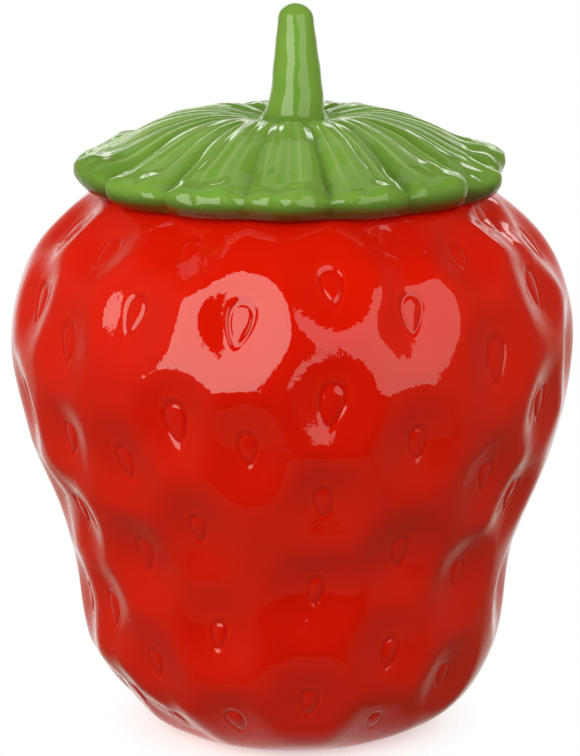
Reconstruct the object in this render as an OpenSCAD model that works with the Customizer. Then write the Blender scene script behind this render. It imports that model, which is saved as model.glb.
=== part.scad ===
// Ceramic storage jar shaped like a strawberry, with a lid of leaves, a stem to lift it by and a seal.
// Millimetres, +Z up. The origin is the middle of the foot, on the surface that the jar stands on.
// Turns are in degrees round the jar, from 0 at the front (-Y) towards the right (+X).

/* [Jar outline] */
// Height of the jar from the table to its rim
jar_h = 186; // [166:1:206]
// Diameter of the foot, where the jar meets the table
foot_d = 82; // [72:1:92]
// Diameter of the heel, just above the foot
heel_d = 119; // [110:1:128]
// Height of the heel
heel_z = 10; // [8:1:14]
// Diameter of the fruit's tapered lower end
hip_d = 142; // [132:1:152]
// Height of the lower end
hip_z = 33; // [28:1:42]
// Diameter of the waist, where the lower end swells out
waist_d = 152; // [144:1:165]
// Height of the waist
waist_z = 66; // [56:1:76]
// Diameter of the swelling side, under the belly
rise_d = 175; // [164:1:184]
// Height of the swelling side
rise_z = 96; // [88:1:104]
// Widest diameter of the jar
belly_d = 190; // [184:1:205]
// Distance of the widest place below the rim
belly_z = 54; // [46:1:60]
// Diameter of the shoulder
shoulder_d = 177; // [168:1:184]
// Distance of the shoulder below the rim
shoulder_z = 25; // [20:1:31]
// Diameter of the neck, where the shoulder turns in under the lid
neck_d = 148; // [142:1:158]
// Distance of the neck below the rim
neck_z = 8; // [6:0.5:12]

/* [Jar wall and mouth] */
// Thickness of the jar's wall between the dimples
wall = 7; // [5.5:0.5:9]
// Thickness of the jar's floor, over the foot's recess
floor_t = 9; // [6:0.5:14]
// Inside diameter of the mouth
mouth_d = 114; // [100:1:122]
// Width of the flat rim round the mouth
rim_w = 5; // [3:0.5:7]
// Depth of the straight bore of the mouth
bore_h = 9; // [8:0.5:14]
// Width of the foot's ring
foot_w = 9; // [5:0.5:14]
// Depth of the recess inside the foot's ring
foot_recess = 2.5; // [1:0.5:4]

/* [Dimples and seeds] */
// Width of a dimple, across the jar
dimple_w = 36; // [24:1:40]
// Height of a dimple, up the wall
dimple_h = 43; // [28:1:48]
// Depth of a dimple in the middle
dimple_t = 3.6; // [1:0.1:4]
// Distance from the rim or the foot over which dimples die out
dimple_fade = 11; // [6:1:20]
// Width of a seed
seed_w = 7; // [5:0.5:10]
// Length of a seed, from its round end to its point
seed_l = 12; // [9:0.5:16]
// Height of a seed's middle over the floor of its dimple
seed_t = 1.2; // [0.8:0.1:2]

/* [Lid] */
// Number of leaf lobes round the lid
lobes = 16; // [10:1:18]
// Turn of the first crease between two lobes
crease_turn = 10; // [0:0.5:22]
// Reach of a lobe's tip past the jar's rim
leaf_reach = 10.4; // [9:0.2:14]
// Thickness of a lobe's rolled edge
leaf_edge = 10; // [7:0.5:11]
// Height of a lobe's tip over the rim
tip_h = 4; // [3.5:0.1:6]
// Gap between the leaves and the jar's shoulder
leaf_gap = 0.8; // [0.4:0.1:2]
// Distance past the rim at which the leaves come closest to the shoulder
leaf_seat = 3.5; // [2:0.5:5]
// Rise of the highest tip over the tips' common height
tip_sway = 2.6; // [0:0.1:3.5]
// Width of the flat crown round the stem's foot
crown_w = 1; // [0.5:0.5:4]
// Height of the crown over the rim
crown_h = 21.5; // [18:0.5:26]
// Height of the lid's crest, round the crown
crest_h = 23.6; // [20:0.1:29]
// Diameter of the crest
crest_d = 56; // [50:1:66]
// Height of the hollow flare between the crest and the tips
flare_h = 13.8; // [12:0.1:16]
// Diameter of the flare
flare_d = 112; // [106:1:118]
// Height of the brow between the flare and the crest
brow_h = 20.3; // [17:0.1:22]
// Diameter of the brow
brow_d = 86; // [78:1:92]
// Depth of the notch at the edge between two lobes
notch = 4; // [0.5:0.1:5]
// Depth of the crease that runs up from a notch
crease_t = 2.4; // [0.4:0.1:3]
// Number of veins on a lobe
veins = 3; // [1:1:4]
// Height of a vein over the leaf
vein_t = 0.4; // [0:0.05:0.8]
// Thickness of the lid's wall
lid_wall = 7; // [5:0.5:9]

/* [Plug and seal] */
// Gap between the lid's plug and the bore of the mouth
plug_gap = 1.5; // [1:0.1:2.5]
// Thickness of the plug's wall
plug_wall = 6; // [4:0.5:9]
// Depth of the plug below the rim
plug_h = 15; // [11:0.5:24]
// Height of the seal ring
seal_h = 5; // [3:0.5:6]
// Depth of the seal ring's top below the rim
seal_drop = 1.6; // [1:0.1:2]
// Depth of the groove that holds the seal ring
seal_bite = 2; // [1:0.1:3]
// Gap between the seal ring and the bore of the mouth
seal_gap = 0.3; // [0.2:0.1:0.5]
// Play of the seal ring in its groove
seal_play = 0.05; // [0.02:0.01:0.1]

/* [Stem] */
// Height of the stem over the crown
stem_h = 38; // [26:1:50]
// Diameter of the stem at its round top
stem_top_d = 12.6; // [9:0.2:15]
// Diameter of the stem just above its foot
stem_d = 17.6; // [14:0.2:19]
// Diameter of the stem's flared foot
stem_foot_d = 22; // [20:0.5:25]
// Height over which the stem's foot flares out
stem_flare_h = 8; // [5:0.5:12]
// Diameter of the tenon that holds the stem in the crown
tenon_d = 9; // [6:0.5:12]
// Length of the tenon
tenon_h = 4; // [2:0.5:4.5]
// Gap round the tenon, filled by slip
tenon_gap = 0.1; // [0.05:0.05:0.3]

/* [Hidden] */
$fn = 96;

mouth_r = mouth_d / 2;
rim_r = mouth_r + rim_w;
foot_r = foot_d / 2;
crown_z = jar_h + crown_h;
past = 1;

// Facets round the jar and between two points of its outline, across a lobe and between two of its rows, round
// a seed and between two points of the stem's side
jar_sides = 100;
jar_steps = 5;
lobe_sides = 12;
leaf_steps = 2;
seed_sides = 12;
stem_steps = 4;

// The jar's outline, as radius and height from the foot to the rim
outline_points = [
    [foot_r, 0],
    [heel_d / 2, heel_z],
    [hip_d / 2, hip_z],
    [waist_d / 2, waist_z],
    [rise_d / 2, rise_z],
    [belly_d / 2, jar_h - belly_z],
    [shoulder_d / 2, jar_h - shoulder_z],
    [neck_d / 2, jar_h - neck_z],
    [rim_r, jar_h]
];

// Columns of seeds on the front half: turn at the rim, turn at the foot, heights in percent of the jar's.
// The back half repeats them.
seed_columns = [
    [-75, -77, [94, 62, 25]],
    [-71, -53, [82, 44]],
    [-50, -60, [93, 77, 59, 26, 8]],
    [-33, -43, [84, 57, 39, 18, 5]],
    [-27, -17, [95, 66, 46, 26, 8]],
    [-12, -4, [84, 62]],
    [9, 4, [90, 70, 52, 35, 13]],
    [25, 27, [96, 85, 62, 41, 22, 7]],
    [43, 50, [93, 75, 53, 34, 14]],
    [66, 57, [97, 85, 64, 47]],
    [80, 78, [91, 71, 27]],
    [104, 104, [45, 8]]
];

// Rise of each lobe's tip, from the first crease on, as a share of the highest tip's
lobe_lift = [-0.2, 0.2, -0.3, 1, 0.2, -0.2, 0.5, 0, 0.4, -0.2, 0.8, -0.2, 0.8, -0.3, -0.3, -0.3];

// Under and upper side of a rolled edge: shares of its thickness inside its tip, and below or above it
edge_under = [0.34, 0.54];
edge_upper = [0.49, 0.48];

// How flat a lobe is between its creases
lobe_flat = 2.5;

// Shares of the stem's flare, in width and in height, at which it bends
flare_bend = [0.2, 0.4];

// A point at share t of the smooth curve from point i to the next one
function curve_point(p, i, t) =
    let (a = p[max(i - 1, 0)], b = p[i], c = p[i + 1], d = p[min(i + 2, len(p) - 1)])
    (2 * b + (c - a) * t + (2 * a - 5 * b + 4 * c - d) * t ^ 2 + (3 * b - a - 3 * c + d) * t ^ 3) / 2;

// The smooth curve through points p, with a number of steps between two of them
function curve(p, steps) = [
    for (i = [0 : len(p) - 2], k = [0 : steps - 1]) curve_point(p, i, k / steps),
    p[len(p) - 1]
];

// Direction square to curve c at its point i, outwards
function normal(c, i) =
    let (d = c[min(i + 1, len(c) - 1)] - c[max(i - 1, 0)])
    [d[1], -d[0]] / norm(d);

// Lengths along curve c from its start to each of its points
function lengths(c) = [
    for (i = 0, s = 0; i < len(c); s = s + (i < len(c) - 1 ? norm(c[i + 1] - c[i]) : 0), i = i + 1) s
];

// A point on the jar at a radius, a turn and a height
function around(r, turn, z) = [r * sin(turn), -r * cos(turn), z];

// A smooth step from 0 at a to 1 at b
function ease(a, b, x) =
    let (t = max(0, min(1, (x - a) / (b - a))))
    t * t * (3 - 2 * t);

// Faces of a closed grid of rings, listed from the bottom of the outer side, with its two ends capped
function ring_faces(rings, sides) = [
    [for (i = [0 : sides - 1]) i],
    for (j = [0 : rings - 2], i = [0 : sides - 1])
        let (a = j * sides + i, b = j * sides + (i + 1) % sides)
        each [[a, a + sides, b + sides], [a, b + sides, b]],
    [for (i = [sides - 1 : -1 : 0]) (rings - 1) * sides + i]
];

outline = curve(outline_points, jar_steps);
outline_s = lengths(outline);
outline_end = outline_s[len(outline) - 1];
s_at_height = [for (i = [0 : len(outline) - 1]) [outline[i][1], outline_s[i]]];
r_at_height = [for (p = outline) [p[1], p[0]]];

// Seeds as turn, height and place along the outline
seeds = [
    for (half = [0, 180], column = seed_columns, percent = column[2])
        let (z = jar_h * percent / 100)
        [column[1] + (column[0] - column[1]) * percent / 100 + half, z, lookup(z, s_at_height)]
];

// Depth of one dimple at distance u across and v up from its middle
function dimple(u, v) =
    let (q = (2 * u / dimple_w) ^ 2 + (2 * v / dimple_h) ^ 2)
    q < 1 ? dimple_t * (1 - q) ^ 2 : 0;

// Share of their depth that dimples have at place s along the outline
function dimple_share(s) = ease(0, dimple_fade, s) * ease(0, dimple_fade, outline_end - s);

// Depth of those dimples among near at a turn, at place s and radius r
function dimple_depth(near, turn, s, r) =
    dimple_share(s) * min(dimple_t, sum([for (d = near) dimple(2 * r * sin((turn - d[0]) / 2), s - d[2])]));

// Seeds whose dimples reach place s along the outline
function seeds_near(s) = [for (d = seeds) if (abs(s - d[2]) < dimple_h / 2) d];

function sum(list) = len(list) == 0 ? 0 : list * [for (x = list) 1];

// Outer skin of the jar, dimpled
skin_points = [
    for (j = [0 : len(outline) - 1])
        let (
            p = outline[j],
            s = outline_s[j],
            n = normal(outline, j),
            near = seeds_near(s)
        )
        for (i = [0 : jar_sides - 1])
            let (
                turn = 360 * i / jar_sides,
                depth = dimple_depth(near, turn, s, p[0])
            )
            around(p[0] - n[0] * depth, turn, p[1] - n[1] * depth)
];

// Inside of the jar, a wall's thickness from the outline, up to the bore of the mouth
inside_curve = [
    for (i = [0 : len(outline) - 1])
        let (p = outline[i] - normal(outline, i) * wall)
        if (p[1] > foot_recess + floor_t && p[1] < jar_h - bore_h - rim_w / 2 && p[0] > mouth_r / 2) p
];

module inside() {
    rotate_extrude()
        polygon(concat(
            [[0, foot_recess + floor_t], [inside_curve[0][0] - wall / 2, foot_recess + floor_t]],
            inside_curve,
            [[mouth_r, jar_h - bore_h], [mouth_r, jar_h + past], [0, jar_h + past]]
        ));
}

// A seed's outline, round above and pointed below: a drop that is widest a third of the way round it
function drop(a) = sin(a) * cos(a / 2) ^ 2;

seed_outline = [
    for (i = [0 : seed_sides - 1])
        let (a = 360 * i / seed_sides)
        [seed_w / 2 * drop(a) / drop(60), seed_l / 2 * cos(a)]
];

// One seed, lying flat: its middle stands seed_t over the plane and its root goes as far under it
module seed() {
    dome_r = (seed_l ^ 2 / 4 + (seed_t / 2) ^ 2) / seed_t;
    intersection() {
        translate([0, 0, -seed_t])
            linear_extrude(2 * seed_t + past)
                polygon(seed_outline);
        translate([0, 0, seed_t - dome_r])
            sphere(dome_r);
    }
}

// A seed on the floor of its dimple
module placed_seed(turn, z, s) {
    i = max([for (k = [0 : len(outline) - 1]) outline_s[k] <= s ? k : 0]);
    n = normal(outline, i);
    r = lookup(z, r_at_height);
    depth = dimple_depth(seeds_near(s), turn, s, r);
    rotate(turn)
        translate([0, n[0] * depth - r, z - n[1] * depth])
            rotate([90 - atan2(n[1], n[0]), 0, 0])
                seed();
}

module jar_body() {
    color("#c8201a")
        difference() {
            union() {
                polyhedron(skin_points, ring_faces(len(outline), jar_sides));
                for (d = seeds)
                    placed_seed(d[0], d[1], d[2]);
            }
            inside();
            translate([0, 0, -past])
                cylinder(r = foot_r - foot_w, h = foot_recess + past);
        }
}

// The lid's leaves along the middle of a lobe, from the seat under the edge to the crown: radius, height over
// the rim, and the shares there of the notch, the crease, the veins, the tip's sway and the gathering of the
// veins towards the creases
tip_r = rim_r + leaf_reach;
contact_r = rim_r + leaf_seat;
crown_r = stem_foot_d / 2 + crown_w;
shoulder_height = [for (p = outline) if (p[1] >= jar_h - belly_z) [-p[0], p[1]]];
leaf_points = [
    [contact_r, lookup(-contact_r, shoulder_height) + leaf_gap - jar_h, 0, 0, 0, 0, 0.6],
    [tip_r - edge_under[0] * leaf_edge, tip_h - edge_under[1] * leaf_edge, 0.3, 0, 0, 0.6, 0.6],
    [tip_r, tip_h, 1, 0.3, 0, 1, 0.6],
    [tip_r - edge_upper[0] * leaf_edge, tip_h + edge_upper[1] * leaf_edge, 1, 1, 0.2, 1, 0.6],
    [flare_d / 2, flare_h, 0.4, 0.8, 0.9, 0.2, 0.5],
    [brow_d / 2, brow_h, 0, 0.4, 1, 0, 0.2],
    [crest_d / 2, crest_h, 0, 0.2, 1, 0, 0],
    [crown_r, crown_h, 0, 0, 0, 0, 0]
];
leaf_sides = lobes * lobe_sides;

leaf_rings = concat(
    [[rim_r + leaf_gap, 0, 0, 0, 0, 0, 0.6]],
    curve(leaf_points, leaf_steps)
);

// Fullness of a lobe at share f of its width: 0 at the creases, 1 in the middle
function fullness(f) = 1 - abs(2 * f - 1) ^ lobe_flat;

// A point on the leaves, on ring p and side i
function leaf_point(p, i) =
    let (
        lobe = floor(i / lobe_sides),
        f = i / lobe_sides - lobe,
        hollow = 1 - fullness(f),
        vein = cos(360 * veins * f - 180),
        sway = tip_sway * lobe_lift[lobe % len(lobe_lift)] * fullness(f),
        turn = crease_turn + 360 / lobes * (lobe + f - p[6] * sin(360 * f) / (2 * PI))
    )
    around(p[0] - notch * p[2] * hollow, turn,
        jar_h + p[1] - crease_t * p[3] * hollow + vein_t * p[4] * vein + sway * p[5]);

leaf_skin = [for (p = leaf_rings, i = [0 : leaf_sides - 1]) leaf_point(p, i)];

plug_r = mouth_r - plug_gap;
hollow_r = plug_r - plug_wall;
groove_r = plug_r - seal_bite;
groove_top = jar_h - seal_drop + seal_play;
groove_low = jar_h - seal_drop - seal_h - seal_play;

// Hollow under the lid, open through the plug
module lid_hollow() {
    roof_z = crown_z - lid_wall;
    rotate_extrude()
        polygon([
            [0, jar_h - past],
            [hollow_r, jar_h - past],
            [hollow_r, jar_h + plug_wall / 2],
            [crest_d / 2, roof_z],
            [0, roof_z]
        ]);
}

// Plug that centres the lid in the mouth, with the groove for the seal, rooted in the lid
module plug() {
    low_z = jar_h - plug_h;
    root_z = jar_h + plug_wall / 2;
    rotate_extrude()
        polygon([
            [hollow_r, low_z],
            [plug_r, low_z],
            [plug_r, groove_low],
            [groove_r, groove_low],
            [groove_r, groove_top],
            [plug_r, groove_top],
            [plug_r, root_z],
            [hollow_r, root_z]
        ]);
}

module leaf_lid() {
    color("#7aa548")
        difference() {
            union() {
                difference() {
                    polyhedron(leaf_skin, ring_faces(len(leaf_rings), leaf_sides));
                    lid_hollow();
                }
                plug();
            }
            translate([0, 0, crown_z - tenon_h - tenon_gap])
                cylinder(d = tenon_d + 2 * tenon_gap, h = tenon_h + tenon_gap + past);
        }
}

// The stem's side from its flared foot to its round top, as radius and height over the crown
stem_tip = stem_top_d / 2;
stem_side = concat(
    curve([
        [stem_foot_d / 2, 0],
        [stem_d / 2 + flare_bend[0] * (stem_foot_d - stem_d), flare_bend[1] * stem_flare_h],
        [stem_d / 2, stem_flare_h],
        [(stem_d + stem_top_d) / 4, stem_h / 2],
        [stem_tip, stem_h - stem_tip]
    ], stem_steps),
    [for (a = [15 : 15 : 90]) [stem_tip * cos(a), stem_h - stem_tip + stem_tip * sin(a)]]
);

module stem_knob() {
    color("#6f9b3f")
        translate([0, 0, crown_z])
            rotate_extrude()
                polygon(concat([[0, -tenon_h], [tenon_d / 2, -tenon_h], [tenon_d / 2, 0]], stem_side));
}

// Two lips round the seal ring wipe the bore of the mouth
module seal_ring() {
    inner_r = groove_r + seal_play;
    outer_r = mouth_r - seal_gap;
    root_r = plug_r + plug_gap / 4;
    low_z = jar_h - seal_drop - seal_h;
    lip = seal_h / 5;
    color("#e8e6df")
        translate([0, 0, low_z])
            rotate_extrude()
                polygon([
                    [inner_r, 0],
                    [root_r, 0],
                    [outer_r, lip],
                    [outer_r, 1.5 * lip],
                    [root_r, 2 * lip],
                    [root_r, 3 * lip],
                    [outer_r, 3.5 * lip],
                    [outer_r, 4 * lip],
                    [root_r, 5 * lip],
                    [inner_r, 5 * lip]
                ]);
}

jar_body();
leaf_lid();
stem_knob();
seal_ring();
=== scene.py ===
import math
from collections import namedtuple

import bmesh
import bpy
import numpy as np
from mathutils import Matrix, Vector


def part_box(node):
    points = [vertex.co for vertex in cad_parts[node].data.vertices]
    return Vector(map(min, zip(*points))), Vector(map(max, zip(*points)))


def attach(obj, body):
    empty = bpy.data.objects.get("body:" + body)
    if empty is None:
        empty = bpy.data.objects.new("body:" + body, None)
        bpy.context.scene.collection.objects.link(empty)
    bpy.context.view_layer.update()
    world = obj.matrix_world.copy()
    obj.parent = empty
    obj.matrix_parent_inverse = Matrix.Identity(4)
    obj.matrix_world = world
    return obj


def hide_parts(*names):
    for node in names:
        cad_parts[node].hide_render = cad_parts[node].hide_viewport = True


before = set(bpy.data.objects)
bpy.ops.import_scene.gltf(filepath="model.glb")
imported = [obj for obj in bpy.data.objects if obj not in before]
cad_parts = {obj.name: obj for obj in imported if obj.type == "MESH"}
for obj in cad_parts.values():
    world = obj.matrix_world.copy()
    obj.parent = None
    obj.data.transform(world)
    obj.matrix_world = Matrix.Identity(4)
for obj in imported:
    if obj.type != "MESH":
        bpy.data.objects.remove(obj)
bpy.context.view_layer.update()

# Sizes are in millimetres, as on a drawing of the jar, and turns are in degrees round it, from 0 at the
# front (-Y) towards the right (+X). Meshes are made in metres. A softness is the reach over which a path's
# corners are rounded.
MM = 0.001

# Jar: height, and radius and height of the outline's points from the foot to the rim
JAR_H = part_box("jar_body")[1].z / MM
FOOT_R = 41
RIM_R = 62
OUTLINE = [
    (FOOT_R, 0),
    (59.5, 10),
    (71.2, 33),
    (76, 66),
    (87.5, 96),
    (95, 132),
    (88.5, 161),
    (74, 178),
    (RIM_R, JAR_H),
]
OUTLINE_SOFT = 5
EDGE_SOFT = 0.8
WALL = 7
FLOOR_Z = 11.5
MOUTH_R = 57
BORE_H = 9
BORE_BLEND = 2.5
FOOT_W = 9
FOOT_RECESS = 2.5

# Columns of seeds on the front half: turn at the rim, turn at the foot, heights in percent of the jar's.
# The back half repeats them.
SEED_COLUMNS = [
    (-75, -77, (94, 62, 25)),
    (-71, -53, (82, 44)),
    (-50, -60, (93, 77, 59, 26, 8)),
    (-33, -43, (84, 57, 39, 18, 5)),
    (-27, -17, (95, 66, 46, 26, 8)),
    (-12, -4, (84, 62)),
    (9, 4, (90, 70, 52, 35, 13)),
    (25, 27, (96, 85, 62, 41, 22, 7)),
    (43, 50, (93, 75, 53, 34, 14)),
    (66, 57, (97, 85, 64, 47)),
    (80, 78, (91, 71, 27)),
    (104, 104, (45, 8)),
]

# Dimples, and the seed in each: a raised drop in a groove with a soft lip round it. Seeds are smaller low
# down and at the top, where they are also fainter, and the dimples in both places are shallower at the front.
# Size and tilt swing from one seed to the next by a step in radians.
DIMPLE_W = 36
DIMPLE_H = 43
DIMPLE_T = 3.6
DIMPLE_FADE = 11
DIMPLE_LOW_SHARE = 0.8
DIMPLE_FRONT_TURN = 15
DIMPLE_SIDE_TURN = 45
SEED_W = 6.2
SEED_L = 11.8
SEED_T = 0.5
SEED_TAPER = 0.28
SEED_NARROWEST = 0.12
SEED_ROUND = 0.7
SEED_TILT = 9
SEED_TILT_STEP = 2.4
SEED_LOW_SHARE = 0.74
SEED_VARY = 0.1
SEED_VARY_STEP = 1.7
SEED_LOW_Z = 85
SEED_FULL_Z = 145
SEED_NEAR_Z = 160
SEED_TOP_Z = 180
SEED_TOP_SHARE = 0.5
GROOVE_T = 0.26
GROOVE_AT = 1.2
GROOVE_W = 0.2
# Deeper colour in each seed's groove: partly pooled glaze, partly painted shade
GROOVE_POOL_AND_SHADE = 0.75
LIP_T = 0.06
LIP_AT = 1.6
LIP_W = 0.25
LIP_POOL = 0.3

# Lid: lobes of leaves, and the path of a lobe's middle from its seat to the crown. Each point of the path has
# a radius, a height over the rim, and the shares there of the notch between two lobes, of the crease, of the
# veins, of the tip's sway and of the gathering of the veins.
LOBES = 16
CREASE_TURN = 10
LEAF_GAP = 0.8
LID_SOFT = 0.25
ROLL_H = 4.6
CROWN_H = 21.5
GATHER = 0.6
LEAF_PATH = [
    (64.2, -0.8, 0, 0, 0, 0, GATHER),
    (66.6, -2, 0.1, 0, 0, 0.15, GATHER),
    (69.2, -1.3, 0.4, 0, 0, 0.5, GATHER),
    (71.6, 1.4, 0.8, 0.1, 0, 0.9, GATHER),
    (72.5, ROLL_H, 1, 0.3, 0, 1, GATHER),
    (71.1, 7.4, 1, 0.7, 0, 1, GATHER),
    (67.5, 9.2, 1, 1, 0.2, 1, GATHER),
    (63, 10.7, 0.8, 1, 0.6, 0.7, GATHER),
    (56, 13.8, 0.4, 0.8, 1, 0.2, 0.5),
    (43, 20.3, 0, 0.55, 1, 0, 0.2),
    (28, 23.5, 0, 0.45, 0.8, 0, 0),
    (12, CROWN_H, 0, 0.3, 0.3, 0, 0),
]

# Creases between the lobes: the notch in the edge, the lift of the edge there, the wide hollow and the narrow
# cut in it, and each crease's share of them
NOTCH = 4.2
EDGE_LIFT = 1.5
EDGE_LIFT_H = 6
CREASE_T = 2.4
CREASE_W = 1
CREASE_CUT = 0.7
CREASE_SHARE = [0.9, 0.7, 1.1, 1.4, 1.3, 0.9, 1.1, 0.8, 1, 2.4, 1.2, 1.3, 1.5, 1.4, 0.6, 0.5]
LOBE_ROUND = 2.5

# Each lobe's lift at its tip, and the shift of all tips to the left
LOBE_LIFT = [-0.4, 0.6, -0.8, 2.6, 0.6, -0.6, 1.2, 0, 1, -0.4, 2, -0.4, 2, -0.7, -0.9, -0.8]
TIP_SHIFT = 1.2
SHIFT_FROM_R = 15
SHIFT_FULL_R = 40

# Lumps and dents of the casting. Their waves are those of ripple() below.
LUMP_T = 0.5
LUMP_WAVES = (23, 0.28, 9, 0.19)
DENT_T = 0.22
DENT_WAVES = (47, 0.9, 13, 0.6)

# Veins along a lobe, which are weaker at the front and the back, flutes, and pleats round the stem. Steps in
# radians make veins and flutes differ from one to the next.
VEINS = 5
VEIN_T = 0.4
VEIN_W = 0.5
VEIN_R = 45
VEIN_NARROWEST = 0.3
VEIN_MEAN = 0.8
VEIN_VARY = 0.35
VEIN_STEP = 2.1
VEIN_LOBE_STEP = 5
FRONT_SHARE = 0.4
SWEEP = 0.3
FLUTES = 2.5
FLUTE_T = 0.35
FLUTE_LOBE_STEP = 1.7
PLEATS = 40
PLEAT_T = 0.28
PLEAT_R = 13
PLEAT_W = 3

# Pooling of the lid's glaze, the heights between which its edge turns burnt brown, which is partly the
# glaze's own colour and partly painted shade and painted red light bounced from the jar, and how far under it
# the green goes
HOLLOW_POOL = 0.4
RIDGE_POOL = 0.8
PLEAT_POOL = 0.6
BURNT_AND_SHADE_POOL = 2
BURNT_AND_SHADE_TOP = 6
BURNT_AND_SHADE_LOW = -0.8
GREEN_MARGIN = 1

# Plug under the lid, with the groove for the seal, and the hollow inside it
PLUG_R = 55.5
HOLLOW_R = 49.5
PLUG_H = 15
GROOVE_R = 53.5
GROOVE_TOP = -1.55
GROOVE_LOW = -6.65
HOLLOW_H = 3
ROOF_R = 29
ROOF_H = 14.5
SOCKET_R = 4.6
SOCKET_H = 4.1

# Stem: radius and height over the crown of its side, and its round top. Over its foot it bends to the right,
# its top leans back to the left, and it has soft lumps, which fade out towards its top and its foot.
STEM_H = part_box("stem_knob")[1].z / MM - JAR_H - CROWN_H
STEM_TIP = 6.1
STEM_SHOULDER_H = STEM_H - STEM_TIP
STEM_SIDE = [(13, -0.5), (11.2, 0.5), (9.9, 2.7), (8.85, 8), (7.5, STEM_H / 2), (STEM_TIP, STEM_SHOULDER_H)]
STEM_SOFT = 0.3
STEM_SHIFT = 1.6
STEM_FOOT_H = 10
STEM_LEAN = -0.7
STEM_LUMP_T = 0.13
STEM_WAVES = (3, 0.2, 1, 0.46)
STEM_LUMP_R = 5
STEM_LUMP_H = 3
STEM_POOL = 0.5
STEM_POOL_H = 2
TENON_R = 4.5
TENON_H = 4

# Seal ring: its height and the lips' part of it, and radii of its inside, its body and its two lips
SEAL_LOW = -6.6
SEAL_H = 5
SEAL_LIP_H = 1
SEAL_SOFT = 0.25
SEAL_IN_R = 53.55
SEAL_BODY_R = 55.9
SEAL_LIP_R = 56.7

# Mesh spacing. Faces at the seeds are cut finer, and columns crowd at the lid's creases and veins.
FINE = 0.25
CURVE_STEPS = 40
JAR_COLUMNS = 288
JAR_ROW = 2.1
HIDDEN_ROW = 5
CORNER_ROW = 0.45
ROW_GROWTH = 0.3
SEED_CUTS = 3
CUT_WIDTHS = 1
CUT_LENGTHS = 0.85
CUT_MARGIN = 2
VEIN_COLUMNS = 6
COLUMN_CROWDING = 0.7
LEAF_ROW = 0.85
ROUND_COLUMNS = 96
STEM_ROW = 0.8
STEM_TOP_STEPS = 24
SEAL_ROW = 0.5
WELD = 0.001

# Camera, in metres, and the photograph's height and the lens's focal length in its pixels
CAMERA_AT = (-0.0009, -1.0, 0.343)
CAMERA_AIM = (-0.0009, 0.0, 0.1187)
PHOTO_H = 756
FOCAL_PX = 3025
SENSOR_H = 24

# Floor, in metres: white and round, and faded out into the white backdrop beyond the jar's foot
FLOOR_RADIUS = 0.3
FLOOR_SOLID = 0.042
FLOOR_EDGE = 0.066
FLOOR_SEGMENTS = 128
FLOOR_PALE = (0.8, 0.8, 0.8)
FLOOR_DARK = (0.78, 0.78, 0.78)
FLOOR_CLOUDS = 3
FLOOR_ROUGHNESS = 0.9
FLOOR_GLOW = 0.5

# Room, by the parts X, Y and Z of the direction in which it is seen: a white panel behind the jar, which
# fades out to the sides and upwards, dim warm walls at the sides, and a dim warm ground
WHITE = (1, 1, 1)
ROOM_COLOUR = (1, 0.8, 0.5)
ROOM_GLOW = 0.02
PANEL_FROM_Y = 0.25
PANEL_FULL_Y = 0.95
PANEL_FULL_Z = 0.1
PANEL_END_Z = 0.75
SIDES_GLOW = 0.17
SIDES_FROM_X = 0.4
SIDES_FULL_X = 0.8
GROUND_GLOW = 0.16
GROUND_FROM_Z = -0.6
GROUND_FULL_Z = -0.63

# Soft lights: turn and rise from the jar's middle in degrees, distance, width and height in metres, and
# radiance. Two large ones in front and two behind show in the gloss, and four others only light the colours.
LAMP_AIM = (0, 0, 0.13)
LAMP_COLOUR = (1, 0.97, 0.88)
Softbox = namedtuple("Softbox", "name turn rise away width height radiance colour in_gloss")
SOFTBOXES = [
    Softbox("left_light", -33, 18, 1.3, 0.95, 1.5, 3.0, LAMP_COLOUR, True),
    Softbox("right_light", 35.5, 18, 1.3, 1.05, 1.52, 1.4, LAMP_COLOUR, True),
    Softbox("back_light", 176, 27, 1.3, 1.5, 0.2, 2.0, WHITE, True),
    Softbox("roof_light", 185, 63, 1.3, 1.5, 0.5, 0.36, WHITE, True),
    Softbox("top_fill", 0, 88, 1.2, 1.2, 1.2, 0.6, LAMP_COLOUR, False),
    Softbox("back_fill", 180, 12, 1.4, 1.8, 1.2, 1.7, LAMP_COLOUR, False),
    Softbox("left_fill", -85, 25, 1.3, 1.2, 1.2, 1.25, LAMP_COLOUR, False),
    Softbox("right_fill", 85, 30, 1.3, 1.2, 1.2, 1.1, LAMP_COLOUR, False),
]


def smooth_curve(points):
    """A smooth curve through points."""
    p = np.asarray(points, float)
    a = np.vstack([p[:1], p[:-2]])[:, None]
    b = p[:-1, None]
    c = p[1:, None]
    d = np.vstack([p[2:], p[-1:]])[:, None]
    t = np.linspace(0, 1, CURVE_STEPS, endpoint=False)[None, :, None]
    curve = (2 * b + (c - a) * t + (2 * a - 5 * b + 4 * c - d) * t**2 + (3 * b - a - 3 * c + d) * t**3) / 2
    return np.vstack([curve.reshape(-1, p.shape[1]), p[-1:]])


def lengths(path):
    """Length along a path from its start to each of its points."""
    steps = np.linalg.norm(np.diff(path[:, :2], axis=0), axis=1)
    return np.concatenate([[0], np.cumsum(steps)])


def evenly(path, step=FINE):
    """The same path with its points about a step apart."""
    path = np.asarray(path, float)
    along = lengths(path)
    places = np.linspace(0, along[-1], max(2, round(along[-1] / step) + 1))
    return np.column_stack([np.interp(places, along, column) for column in path.T])


def soften(path, reach, step=FINE):
    """An evenly spaced path with its corners rounded off over a reach, and its ends kept."""
    rows = max(1, round(reach / step))
    pad = 3 * rows
    kernel = np.exp(-0.5 * (np.arange(-pad, pad + 1) / rows) ** 2)
    kernel /= kernel.sum()
    before = 2 * path[0] - path[pad:0:-1]
    after = 2 * path[-1] - path[-2 : -pad - 2 : -1]
    padded = np.vstack([before, path, after])
    return np.column_stack([np.convolve(column, kernel, "valid") for column in padded.T])


def normals(path):
    """Unit directions square to a path, to its right."""
    along = np.gradient(path[:, :2], axis=0)
    along /= np.linalg.norm(along, axis=1)[:, None]
    return np.column_stack([along[:, 1], -along[:, 0]])


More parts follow.
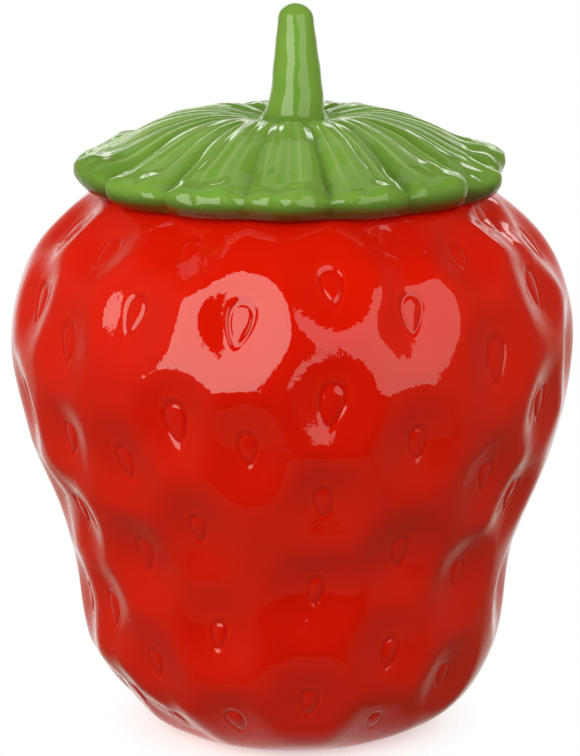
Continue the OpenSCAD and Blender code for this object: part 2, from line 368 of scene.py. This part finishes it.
def join(parts):
    """One path through several, and the lengths along it at which each part starts, and its end."""
    parts = [evenly(part) for part in parts]
    starts = np.concatenate([[0], np.cumsum([lengths(part)[-1] for part in parts])])
    path = np.vstack([parts[0]] + [part[1:] for part in parts[1:]])
    return evenly(path), starts


def graded_rows(end, corners, coarse):
    """Places along a path, close together near its corners and a coarse step apart elsewhere."""
    rows = [0.0]
    while rows[-1] < end:
        reach = min(abs(rows[-1] - corner) for corner in corners)
        rows.append(rows[-1] + min(CORNER_ROW + ROW_GROWTH * reach, coarse(rows[-1])))
    rows[-1] = end
    if rows[-1] - rows[-2] < CORNER_ROW / 2:
        del rows[-2]
    return np.array(rows)


def ease(low, high, x):
    """A smooth step from 0 at low to 1 at high."""
    t = np.clip((x - low) / (high - low), 0, 1)
    return t * t * (3 - 2 * t)


def around(r, turn, z):
    """Points at radii, turns and heights."""
    a = np.radians(turn)
    return np.column_stack([r * np.sin(a), -r * np.cos(a), z])


def bump(x, width):
    """A round bump of height 1 at 0."""
    return np.exp(-((x / width) ** 2))


def ripple(waves, a, x):
    """Uneven ripples of height 1 at most, at angles round the axis and places x along a piece.

    waves has, for each of two waves that are multiplied, its number round the axis and its radians to the
    millimetre along x. They run opposite ways.
    """
    first, first_run, second, second_run = waves
    return np.sin(first * a + first_run * x) * np.cos(second * a - second_run * x)


def make_piece(name, columns, rows, place, materials, split=None, slot_of=None):
    """A closed mesh over a grid of turns and places along a path, in metres.

    place turns arrays of turns and places into points and the glaze's pooling there, which also holds painted
    shade, split picks faces that get a finer grid, and slot_of gives the material's number at a place.
    """
    grid = bmesh.new()
    verts = [[grid.verts.new((turn, row, 0)) for turn in columns] for row in rows]
    for j in range(len(rows) - 1):
        for i in range(len(columns) - 1):
            face = grid.faces.new((verts[j][i], verts[j][i + 1], verts[j + 1][i + 1], verts[j + 1][i]))
            if slot_of:
                face.material_index = slot_of((rows[j] + rows[j + 1]) / 2)
    if split:
        middles = np.array([face.calc_center_median() for face in grid.faces])
        chosen = split(middles[:, 0], middles[:, 1])
        edges = {edge for face, wanted in zip(grid.faces, chosen) if wanted for edge in face.edges}
        order = sorted(edges, key=lambda edge: edge.index)
        bmesh.ops.subdivide_edges(grid, edges=order, cuts=SEED_CUTS, use_grid_fill=True)
    flat = np.array([vert.co for vert in grid.verts], float)
    points, pooling_and_shade = place(flat[:, 0], flat[:, 1])
    pooling_and_shade_layer = grid.verts.layers.float.new("pooling_and_shade")
    for vert, point, value in zip(grid.verts, points * MM, pooling_and_shade):
        vert.co = point
        vert[pooling_and_shade_layer] = value
    bmesh.ops.remove_doubles(grid, verts=grid.verts[:], dist=WELD * MM)
    for face in grid.faces:
        face.smooth = True
    mesh = bpy.data.meshes.new(name)
    grid.to_mesh(mesh)
    grid.free()
    for material in materials:
        mesh.materials.append(material)
    piece = bpy.data.objects.new(name, mesh)
    bpy.context.scene.collection.objects.link(piece)
    return piece


# Materials

# A glaze's body colour lies in soft clouds. It is deeper where the glaze pools, paler where it runs thin, and
# burnt where the pooling value is over 1. Part of the deeper colour in the seeds' grooves and of the burnt
# brown under the lid's edge is painted shade. Bumps of a material (T) are in metres.
Glaze = namedtuple("Glaze", "body deep thin burnt roughness waviness cloudiness")
RED = Glaze(
    body=(0.7, 0.0088, 0.001),
    deep=(0.58, 0.005, 0.0007),
    thin=(0.76, 0.018, 0.002),
    burnt=None,
    roughness=0.03,
    waviness=0.2,
    cloudiness=0.35,
)
GREEN = Glaze(
    body=(0.205, 0.405, 0.06),
    deep=(0.11, 0.23, 0.03),
    thin=(0.36, 0.5, 0.2),
    # Burnt brown of the lid's lower edge: partly the glaze's own colour, partly painted shade and red bounce
    # light
    burnt=(0.085, 0.045, 0.006),
    roughness=0.035,
    waviness=0.12,
    cloudiness=0.55,
)
PALE = Glaze(
    body=(0.78, 0.76, 0.7),
    deep=(0.7, 0.68, 0.61),
    thin=(0.8, 0.78, 0.73),
    burnt=None,
    roughness=0.06,
    waviness=0.06,
    cloudiness=0.35,
)
GLAZE_IOR = 1.6
GLOSS_SPREAD = 0.03
WAVE_T = 0.001
PEEL_T = 0.0004
PEEL_SHARE = 0.7
CLAY_PALE = (0.72, 0.66, 0.57)
CLAY_DARK = (0.5, 0.42, 0.33)
CLAY_ROUGHNESS = 0.85
GRAIN_T = 0.0003
GRAIN_SHARE = 0.25
SEAL_PALE = (0.8, 0.79, 0.74)
SEAL_DARK = (0.7, 0.69, 0.64)
SEAL_ROUGHNESS = (0.42, 0.55)

# Noise: lumps to the metre, detail, and the part of its range that is used
CLOUDS = 28
GLOSS_CLOUDS = 90
WAVES = 110
PEEL = 420
SPECKLES = 900
GRAIN = 1500
SEAL_CLOUDS = 120
SEAL_GLOSS_CLOUDS = 400
PLAIN_DETAIL = 2
FINE_DETAIL = 4
MOST_NOISE = (0.3, 0.7)
CLOUD_NOISE = (0.35, 0.7)
SPECKLE_NOISE = (0.45, 0.75)


def add_node(tree, kind, links=None, **settings):
    """A new node of a kind, with its settings, values on its inputs, and links into them."""
    made = tree.nodes.new(kind)
    for key, value in settings.items():
        setattr(made, key, value)
    for socket, source in (links or {}).items():
        if isinstance(source, bpy.types.NodeSocket):
            tree.links.new(source, made.inputs[socket])
        else:
            made.inputs[socket].default_value = source
    return made


def new_material(name):
    """A material with a bare Principled shader, and its tree and shader."""
    material = bpy.data.materials.new(name)
    material.use_nodes = True
    tree = material.node_tree
    return material, tree, tree.nodes["Principled BSDF"]


def mix_colours(tree, factor, first, second):
    """Colour between two, by a factor."""
    mixed = add_node(tree, "ShaderNodeMix", {"Factor": factor}, data_type="RGBA")
    for socket, colour in zip([s for s in mixed.inputs if s.type == "RGBA"], (first, second)):
        if isinstance(colour, bpy.types.NodeSocket):
            tree.links.new(colour, socket)
        else:
            socket.default_value = (*colour, 1)
    return next(s for s in mixed.outputs if s.type == "RGBA")


def map_range(tree, value, low, high, to_low, to_high):
    """A value moved from one range to another, and kept in it."""
    names = {"Value": value, "From Min": low, "From Max": high, "To Min": to_low, "To Max": to_high}
    return add_node(tree, "ShaderNodeMapRange", names).outputs["Result"]


def noise(tree, scale, detail=PLAIN_DETAIL):
    """Noise in the object's own space, with a number of lumps to the metre."""
    place = add_node(tree, "ShaderNodeTexCoord").outputs["Object"]
    names = {"Vector": place, "Scale": scale, "Detail": detail}
    return add_node(tree, "ShaderNodeTexNoise", names).outputs["Fac"]


def bump_normal(tree, height, strength, distance, below=None):
    """A bump in the surface's normal, from a height, on top of another one below it."""
    names = {"Height": height, "Strength": strength, "Distance": distance}
    if below:
        names["Normal"] = below
    return add_node(tree, "ShaderNodeBump", names).outputs["Normal"]


def glaze(name, look):
    """A glossy glaze with the look of one in the table above."""
    material, tree, shader = new_material(name)
    clouds = map_range(tree, noise(tree, CLOUDS), *CLOUD_NOISE, 0, look.cloudiness)
    colour = mix_colours(tree, clouds, look.body, look.deep)
    pooling_and_shade = add_node(tree, "ShaderNodeAttribute", attribute_name="pooling_and_shade").outputs["Fac"]
    colour = mix_colours(tree, map_range(tree, pooling_and_shade, 0, 1, 0, 1), colour, look.deep)
    colour = mix_colours(tree, map_range(tree, pooling_and_shade, -1, 0, 1, 0), colour, look.thin)
    if look.burnt:
        colour = mix_colours(tree, map_range(tree, pooling_and_shade, 1, 2, 0, 1), colour, look.burnt)
    tree.links.new(colour, shader.inputs["Base Color"])
    rougher = look.roughness + GLOSS_SPREAD
    gloss = map_range(tree, noise(tree, GLOSS_CLOUDS), *MOST_NOISE, look.roughness, rougher)
    tree.links.new(gloss, shader.inputs["Roughness"])
    shader.inputs["IOR"].default_value = GLAZE_IOR
    waves = bump_normal(tree, noise(tree, WAVES), look.waviness, WAVE_T)
    peel = bump_normal(tree, noise(tree, PEEL), PEEL_SHARE * look.waviness, PEEL_T, waves)
    tree.links.new(peel, shader.inputs["Normal"])
    return material


def bisque(name):
    """Bare fired clay: pale, matt and a little speckled."""
    material, tree, shader = new_material(name)
    speckle = map_range(tree, noise(tree, SPECKLES, FINE_DETAIL), *SPECKLE_NOISE, 0, 1)
    tree.links.new(mix_colours(tree, speckle, CLAY_PALE, CLAY_DARK), shader.inputs["Base Color"])
    shader.inputs["Roughness"].default_value = CLAY_ROUGHNESS
    grain = bump_normal(tree, noise(tree, GRAIN, FINE_DETAIL), GRAIN_SHARE, GRAIN_T)
    tree.links.new(grain, shader.inputs["Normal"])
    return material


def silicone(name):
    """Soft, pale seal rubber."""
    material, tree, shader = new_material(name)
    clouds = map_range(tree, noise(tree, SEAL_CLOUDS), *MOST_NOISE, 0, 1)
    tree.links.new(mix_colours(tree, clouds, SEAL_PALE, SEAL_DARK), shader.inputs["Base Color"])
    gloss = map_range(tree, noise(tree, SEAL_GLOSS_CLOUDS), *MOST_NOISE, *SEAL_ROUGHNESS)
    tree.links.new(gloss, shader.inputs["Roughness"])
    return material


red_glaze = glaze("red_glaze", RED)
green_glaze = glaze("green_glaze", GREEN)
white_glaze = glaze("white_glaze", PALE)
bare_clay = bisque("bare_clay")
seal_rubber = silicone("seal_rubber")


# Jar

Seed = namedtuple("Seed", "turn along size depth relief")


def seed_places(outline):
    """Every seed's turn and place along the outline, and the shares of its size, dimple and relief."""
    along = lengths(outline)
    places = []
    for half in (0, 180):
        for rim_turn, foot_turn, heights in SEED_COLUMNS:
            for percent in heights:
                turn = foot_turn + (rim_turn - foot_turn) * percent / 100 + half
                z = JAR_H * percent / 100
                relief = SEED_TOP_SHARE + (1 - SEED_TOP_SHARE) * ease(SEED_TOP_Z, SEED_NEAR_Z, z)
                middle = ease(SEED_LOW_Z, SEED_FULL_Z, z) * ease(SEED_TOP_Z, SEED_NEAR_Z, z)
                size = SEED_LOW_SHARE + (1 - SEED_LOW_SHARE) * middle
                size *= 1 + SEED_VARY * math.sin(SEED_VARY_STEP * len(places))
                front = ease(DIMPLE_SIDE_TURN, DIMPLE_FRONT_TURN, abs((turn + 180) % 360 - 180))
                depth = 1 - (1 - DIMPLE_LOW_SHARE) * (1 - middle) * front
                places.append(Seed(turn, np.interp(z, outline[:, 1], along), size, depth, relief))
    return places


def seed_offsets(turn, s, r, seed):
    """Distances across and up from a seed's middle, at turns, places along the outline and radii."""
    apart = (turn - seed.turn + 180) % 360 - 180
    return 2 * r * np.sin(np.radians(apart) / 2), s - seed.along


def seed_radius(u, v, tilt, size):
    """Distance from a seed's middle as a share of its drop-shaped outline, which is 1 on it."""
    a = math.radians(tilt)
    x = u * math.cos(a) + v * math.sin(a)
    y = 2 * (v * math.cos(a) - u * math.sin(a)) / (SEED_L * size)
    half_width = SEED_W * size / 2 * np.clip(1 + SEED_TAPER * y, SEED_NARROWEST, None)
    return np.sqrt((x / half_width) ** 2 + y**2)


def seed_tilt(index):
    """Tilt of a seed, which differs from one to the next."""
    return SEED_TILT * math.sin(SEED_TILT_STEP * index)


def make_jar():
    """Jar with a dimpled and seeded red skin, a white inside and a bare foot."""
    outline = soften(evenly(smooth_curve(OUTLINE)), OUTLINE_SOFT)
    inside = outline - normals(outline) * WALL
    below_bore = inside[:, 1] < JAR_H - BORE_H - BORE_BLEND
    inside = inside[(inside[:, 1] > FLOOR_Z) & below_bore & (inside[:, 0] > MOUTH_R / 2)]
    recess_r = FOOT_R - FOOT_W
    bore_z = JAR_H - BORE_H
    floor_r = inside[0, 0] - WALL / 2
    parts = [
        [(0, FOOT_RECESS), (recess_r, FOOT_RECESS)],
        [(recess_r, FOOT_RECESS), (recess_r, 0)],
        [(recess_r, 0), (FOOT_R, 0)],
        outline,
        [(RIM_R, JAR_H), (MOUTH_R, JAR_H)],
        [(MOUTH_R, JAR_H), (MOUTH_R, bore_z)],
        np.vstack([[(MOUTH_R, bore_z)], inside[::-1], [(floor_r, FLOOR_Z)]]),
        [(floor_r, FLOOR_Z), (0, FLOOR_Z)],
    ]
    path, starts = join(parts)
    path = soften(path, EDGE_SOFT)
    along = np.linspace(0, starts[-1], len(path))
    across = normals(path)
    foot, _, skin, rim, bore = starts[1:6]
    seeds = seed_places(outline)
    materials = [red_glaze, bare_clay, white_glaze]

    def place(turn, s):
        r = np.interp(s, along, path[:, 0])
        z = np.interp(s, along, path[:, 1])
        up = s - skin
        share = ease(0, DIMPLE_FADE, up) * ease(0, DIMPLE_FADE, rim - s)
        depth = np.zeros_like(r)
        relief = np.zeros_like(r)
        pooling_and_shade = np.zeros_like(r)
        for index, seed in enumerate(seeds):
            near = np.flatnonzero((abs(up - seed.along) < DIMPLE_H / 2) & (share > 0))
            u, v = seed_offsets(turn[near], up[near], r[near], seed)
            q = np.minimum((2 * u / DIMPLE_W) ** 2 + (2 * v / DIMPLE_H) ** 2, 1)
            depth[near] += seed.depth * DIMPLE_T * (1 - q) ** 2
            rho = seed_radius(u, v, seed_tilt(index), seed.size)
            groove = bump(rho - GROOVE_AT, GROOVE_W)
            lip = bump(rho - LIP_AT, LIP_W)
            raised = SEED_T * np.clip(1 - rho**2, 0, 1) ** SEED_ROUND - GROOVE_T * groove + LIP_T * lip
            relief[near] += seed.relief * raised
            # Deeper colour in each seed's groove, partly pooled glaze and partly painted shade; paler glaze
            # on the lip
            pooling_and_shade[near] += seed.relief * (GROOVE_POOL_AND_SHADE * groove - LIP_POOL * lip)
        depth = share * (np.minimum(depth, DIMPLE_T) - relief)
        r = np.maximum(r - depth * np.interp(s, along, across[:, 0]), 0)
        z = z - depth * np.interp(s, along, across[:, 1])
        return around(r, turn, z), share * pooling_and_shade

    def split(turn, s):
        r = np.interp(s, along, path[:, 0])
        chosen = np.zeros(len(s), bool)
        for seed in seeds:
            u, v = seed_offsets(turn, s - skin, r, seed)
            chosen |= (abs(u) < CUT_WIDTHS * SEED_W) & (abs(v) < CUT_LENGTHS * SEED_L)
        return chosen & (s > skin + CUT_MARGIN) & (s < rim - CUT_MARGIN)

    def slot_of(s):
        if foot < s < skin:
            return materials.index(bare_clay)
        return materials.index(red_glaze if skin <= s < bore else white_glaze)

    rows = graded_rows(starts[-1], starts[1:7], lambda s: JAR_ROW if skin < s < rim else HIDDEN_ROW)
    columns = np.linspace(-180, 180, JAR_COLUMNS + 1)
    return make_piece("jar_skin", columns, rows, place, materials, split, slot_of)


# Lid

def fullness(f):
    """Fullness of a lobe at a share of its width: 0 at the creases and 1 in the middle."""
    return 1 - abs(2 * f - 1) ** LOBE_ROUND


def lobe_columns():
    """Shares of the way round the lobes at which columns lie, close together at the creases and veins."""
    strips = VEINS + 1
    t = np.arange(VEIN_COLUMNS) / VEIN_COLUMNS
    t = t - COLUMN_CROWDING * np.sin(2 * np.pi * t) / (2 * np.pi)
    one = np.concatenate([(strip + t) / strips for strip in range(strips)])
    return np.concatenate([lobe + one for lobe in range(LOBES)] + [[LOBES]])


def make_lid():
    """Lid of leaves with creases and veins, with its plug underneath."""
    leaf = smooth_curve(LEAF_PATH)

    def plain(points):
        return np.column_stack([np.asarray(points, float), np.zeros((len(points), leaf.shape[1] - 2))])

    parts = [
        plain([(0, ROOF_H), (ROOF_R, ROOF_H), (HOLLOW_R, HOLLOW_H)]),
        plain([(HOLLOW_R, HOLLOW_H), (HOLLOW_R, -PLUG_H)]),
        plain([(HOLLOW_R, -PLUG_H), (PLUG_R, -PLUG_H)]),
        plain([(PLUG_R, -PLUG_H), (PLUG_R, GROOVE_LOW)]),
        plain([(PLUG_R, GROOVE_LOW), (GROOVE_R, GROOVE_LOW)]),
        plain([(GROOVE_R, GROOVE_LOW), (GROOVE_R, GROOVE_TOP)]),
        plain([(GROOVE_R, GROOVE_TOP), (PLUG_R, GROOVE_TOP)]),
        plain([(PLUG_R, GROOVE_TOP), (PLUG_R, 0)]),
        plain([(PLUG_R, 0), (RIM_R + LEAF_GAP, 0)]),
        np.vstack([plain([(RIM_R + LEAF_GAP, 0)]), leaf]),
        plain([leaf[-1, :2], (SOCKET_R, CROWN_H)]),
        plain([(SOCKET_R, CROWN_H), (SOCKET_R, CROWN_H - SOCKET_H)]),
        plain([(SOCKET_R, CROWN_H - SOCKET_H), (0, CROWN_H - SOCKET_H)]),
    ]
    path, starts = join(parts)
    path = soften(path, LID_SOFT)
    along = np.linspace(0, starts[-1], len(path))
    leaf_start, leaf_end = starts[9], starts[10]
    materials = [green_glaze, white_glaze]

    def place(lobe_share, s):
        r, h, notch, crease, vein, sway, gather = (np.interp(s, along, column) for column in path.T)
        on_leaf = s > leaf_start
        lobe = np.floor(lobe_share)
        f = lobe_share - lobe
        lobe = lobe % LOBES
        full = fullness(f)
        pitch = 2 * np.pi * r / LOBES
        sideways = np.sin(np.radians(CREASE_TURN + 360 / LOBES * (lobe + 0.5)))
        sweep = SWEEP * sideways * gather / GATHER * np.sin(np.pi * f)
        turn = CREASE_TURN + 360 / LOBES * (lobe + f + sweep)
        a = np.radians(turn)

        depth = np.array(CREASE_SHARE)[(lobe + np.round(f)).astype(int) % LOBES]
        hollow = depth * (1 - full)
        cut = depth * bump(np.minimum(f, 1 - f) * pitch, CREASE_W)

        number = np.clip(np.round((VEINS + 1) * f), 1, VEINS)
        nearest = np.abs((VEINS + 1) * f - number) / (VEINS + 1)
        narrow = np.clip(r / VEIN_R, VEIN_NARROWEST, 1)
        strength = FRONT_SHARE + (1 - FRONT_SHARE) * np.abs(sideways)
        strength *= VEIN_MEAN + VEIN_VARY * np.sin(VEIN_STEP * number + VEIN_LOBE_STEP * lobe)
        ridge = strength * narrow * bump(nearest * pitch, VEIN_W * narrow)
        flute = narrow * np.cos(2 * np.pi * FLUTES * f + FLUTE_LOBE_STEP * lobe) * full

        lump = LUMP_T * ripple(LUMP_WAVES, a, r) + DENT_T * ripple(DENT_WAVES, a, h)
        rise = sway * (np.array(LOBE_LIFT)[lobe.astype(int)] * full + lump)
        edge = EDGE_LIFT * notch * hollow * ease(EDGE_LIFT_H, 0, h)
        pleat = np.cos(PLEATS * a) * bump(r - PLEAT_R, PLEAT_W) * on_leaf
        height = h + rise + edge + PLEAT_T * pleat
        height -= crease * (CREASE_T * hollow + CREASE_CUT * cut)
        height += vein * (VEIN_T * ridge + FLUTE_T * flute)

        shift = TIP_SHIFT * np.sin(a) * ease(SHIFT_FROM_R, SHIFT_FULL_R, r)
        shift *= np.where(h < ROLL_H, sway, 1) * on_leaf
        out = r - NOTCH * notch * hollow - shift + sway * lump

        pooling_and_shade = crease * (cut + HOLLOW_POOL * hollow) - RIDGE_POOL * vein * ridge - PLEAT_POOL * pleat
        # Brown towards the roll's lower edge: partly burnt glaze, partly painted shade and painted red light
        # from the jar
        pooling_and_shade += BURNT_AND_SHADE_POOL * ease(BURNT_AND_SHADE_TOP, BURNT_AND_SHADE_LOW, h + rise) * on_leaf
        return around(out, turn, JAR_H + height), pooling_and_shade

    def slot_of(s):
        return materials.index(green_glaze if s >= leaf_start - GREEN_MARGIN else white_glaze)

    corners = list(starts[1:10]) + list(starts[11:13])
    rows = graded_rows(starts[-1], corners, lambda s: LEAF_ROW if leaf_start < s < leaf_end else HIDDEN_ROW)
    return make_piece("lid_leaves", lobe_columns(), rows, place, materials, slot_of=slot_of)


# Stem and seal

def make_turned(name, parts, base_z, softness, row, material, uneven=None):
    """A piece turned about the axis, from paths of radius and height over a base.

    uneven turns radii, angles and heights into uneven radii, shifts to the right and the glaze's pooling.
    """
    path, starts = join(parts)
    path = soften(path, softness)
    along = np.linspace(0, starts[-1], len(path))

    def place(turn, s):
        r = np.maximum(np.interp(s, along, path[:, 0]), 0)
        h = np.interp(s, along, path[:, 1])
        shift = pooling_and_shade = np.zeros_like(r)
        if uneven:
            r, shift, pooling_and_shade = uneven(r, np.radians(turn), h)
        points = around(r, turn, base_z + h)
        points[:, 0] += shift
        return points, pooling_and_shade

    rows = graded_rows(starts[-1], starts[1:-1], lambda s: row)
    columns = np.linspace(-180, 180, ROUND_COLUMNS + 1)
    return make_piece(name, columns, rows, place, [material])


def make_stem():
    """Stem with a flared foot and a round top, on the tenon that holds it in the crown."""
    rises = np.linspace(0, math.pi / 2, STEM_TOP_STEPS)
    top = np.column_stack([STEM_TIP * np.cos(rises), STEM_SHOULDER_H + STEM_TIP * np.sin(rises)])
    parts = [
        [(0, -TENON_H), (TENON_R, -TENON_H)],
        [(TENON_R, -TENON_H), (TENON_R, 0)],
        [(TENON_R, 0), STEM_SIDE[0]],
        np.vstack([smooth_curve(STEM_SIDE), top[1:]]),
    ]

    def uneven(r, a, h):
        lump = STEM_LUMP_T * ripple(STEM_WAVES, a, h) * ease(0, STEM_LUMP_R, r) * ease(0, STEM_LUMP_H, h)
        shift = STEM_SHIFT * ease(-TENON_H, STEM_FOOT_H, h) + STEM_LEAN * np.clip(h / STEM_H, 0, 1)
        return r + lump, shift, STEM_POOL * bump(h, STEM_POOL_H)

    return make_turned("stem", parts, JAR_H + CROWN_H, STEM_SOFT, STEM_ROW, green_glaze, uneven)


def make_seal():
    """Seal ring with two round lips."""
    lower = [
        (SEAL_BODY_R, 0),
        (SEAL_LIP_R, SEAL_LIP_H),
        (SEAL_LIP_R, 1.5 * SEAL_LIP_H),
        (SEAL_BODY_R, 2 * SEAL_LIP_H),
    ]
    upper = [(r, z + SEAL_H / 2) for r, z in lower]
    parts = [
        [(SEAL_IN_R, SEAL_H / 2), (SEAL_IN_R, 0)],
        [(SEAL_IN_R, 0), (SEAL_BODY_R, 0)],
        lower + upper + [(SEAL_BODY_R, SEAL_H)],
        [(SEAL_BODY_R, SEAL_H), (SEAL_IN_R, SEAL_H)],
        [(SEAL_IN_R, SEAL_H), (SEAL_IN_R, SEAL_H / 2)],
    ]
    return make_turned("seal", parts, JAR_H + SEAL_LOW, SEAL_SOFT, SEAL_ROW, seal_rubber)


PIECES = [
    (make_jar, "jar_body", "jar", "red_glaze"),
    (make_lid, "leaf_lid", "lid", "green_glaze"),
    (make_stem, "stem_knob", "lid", "stem_glaze"),
    (make_seal, "seal_ring", "lid", "seal"),
]
for make, stands_for, body, slot in PIECES:
    made = make()
    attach(made, body)
    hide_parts(stands_for)


# Studio

def largest(tree, first, second):
    """The larger of two values."""
    return add_node(tree, "ShaderNodeMath", {0: first, 1: second}, operation="MAXIMUM").outputs[0]


def times(tree, first, second):
    """Two values multiplied."""
    return add_node(tree, "ShaderNodeMath", {0: first, 1: second}, operation="MULTIPLY").outputs[0]


def seen_rays(tree):
    """1 for rays from the camera and for those that a shiny or clear surface sends on, and 0 for others."""
    path = add_node(tree, "ShaderNodeLightPath")
    seen = path.outputs["Is Camera Ray"]
    for other in ("Is Glossy Ray", "Is Transmission Ray"):
        seen = largest(tree, seen, path.outputs[other])
    return seen


def make_floor():
    """Round white floor that keeps the jar's shadow."""
    grid = bmesh.new()
    bmesh.ops.create_circle(grid, cap_ends=True, segments=FLOOR_SEGMENTS, radius=FLOOR_RADIUS)
    mesh = bpy.data.meshes.new("floor")
    grid.to_mesh(mesh)
    grid.free()
    material, tree, shader = new_material("floor")
    tint = map_range(tree, noise(tree, FLOOR_CLOUDS), *MOST_NOISE, 0, 1)
    tree.links.new(mix_colours(tree, tint, FLOOR_PALE, FLOOR_DARK), shader.inputs["Base Color"])
    shader.inputs["Roughness"].default_value = FLOOR_ROUGHNESS
    shader.inputs["Specular IOR Level"].default_value = 0
    shader.inputs["Emission Color"].default_value = (*WHITE, 1)
    glow = map_range(tree, seen_rays(tree), 0, 1, 0, FLOOR_GLOW)
    tree.links.new(glow, shader.inputs["Emission Strength"])
    place = add_node(tree, "ShaderNodeTexCoord").outputs["Object"]
    radius = add_node(tree, "ShaderNodeVectorMath", {0: place}, operation="LENGTH").outputs["Value"]
    solid = map_range(tree, radius, FLOOR_SOLID, FLOOR_EDGE, 1, 0)
    tree.links.new(solid, shader.inputs["Alpha"])
    mesh.materials.append(material)
    floor = bpy.data.objects.new("floor", mesh)
    bpy.context.scene.collection.objects.link(floor)


def make_world():
    """White backdrop, seen all round by the camera and behind the jar by its gloss, in a dim warm room."""
    world = bpy.data.worlds.new("studio")
    world.use_nodes = True
    tree = world.node_tree
    direction = add_node(tree, "ShaderNodeTexCoord").outputs["Generated"]
    x, y, z = add_node(tree, "ShaderNodeSeparateXYZ", {"Vector": direction}).outputs
    behind = map_range(tree, y, PANEL_FROM_Y, PANEL_FULL_Y, 0, 1)
    low = map_range(tree, z, PANEL_FULL_Z, PANEL_END_Z, 1, 0)
    panel = times(tree, times(tree, behind, behind), low)
    camera_ray = add_node(tree, "ShaderNodeLightPath").outputs["Is Camera Ray"]
    backdrop = largest(tree, camera_ray, times(tree, panel, seen_rays(tree)))
    sideways = add_node(tree, "ShaderNodeMath", {0: x}, operation="ABSOLUTE").outputs[0]
    sides = map_range(tree, sideways, SIDES_FROM_X, SIDES_FULL_X, ROOM_GLOW, SIDES_GLOW)
    ground = map_range(tree, z, GROUND_FULL_Z, GROUND_FROM_Z, GROUND_GLOW, 0)
    strength = largest(tree, largest(tree, backdrop, sides), ground)
    background = tree.nodes["Background"]
    tree.links.new(mix_colours(tree, backdrop, ROOM_COLOUR, WHITE), background.inputs["Color"])
    tree.links.new(strength, background.inputs["Strength"])
    bpy.context.scene.world = world


def add_softbox(box):
    """A soft light of the table, facing the jar's middle."""
    a, b = math.radians(box.turn), math.radians(box.rise)
    towards = Vector((math.sin(a) * math.cos(b), -math.cos(a) * math.cos(b), math.sin(b)))
    lamp = bpy.data.lights.new(box.name, "AREA")
    lamp.shape = "RECTANGLE"
    lamp.color = box.colour
    lamp.size = box.width
    lamp.size_y = box.height
    lamp.energy = box.radiance * math.pi * box.width * box.height
    light = bpy.data.objects.new(box.name, lamp)
    light.location = Vector(LAMP_AIM) + box.away * towards
    light.rotation_euler = towards.to_track_quat("Z", "Y").to_euler()
    light.visible_camera = False
    light.visible_glossy = box.in_gloss
    bpy.context.scene.collection.objects.link(light)


def make_camera():
    """Camera at the photograph's viewing angle."""
    lens = bpy.data.cameras.new("camera")
    lens.sensor_fit = "VERTICAL"
    lens.sensor_height = SENSOR_H
    lens.lens = FOCAL_PX / PHOTO_H * SENSOR_H
    camera = bpy.data.objects.new("camera", lens)
    camera.location = CAMERA_AT
    camera.rotation_euler = (Vector(CAMERA_AT) - Vector(CAMERA_AIM)).to_track_quat("Z", "Y").to_euler()
    bpy.context.scene.collection.objects.link(camera)
    bpy.context.scene.camera = camera


make_floor()
make_world()
for box in SOFTBOXES:
    add_softbox(box)
make_camera()
bpy.context.scene.view_settings.view_transform = "Standard"
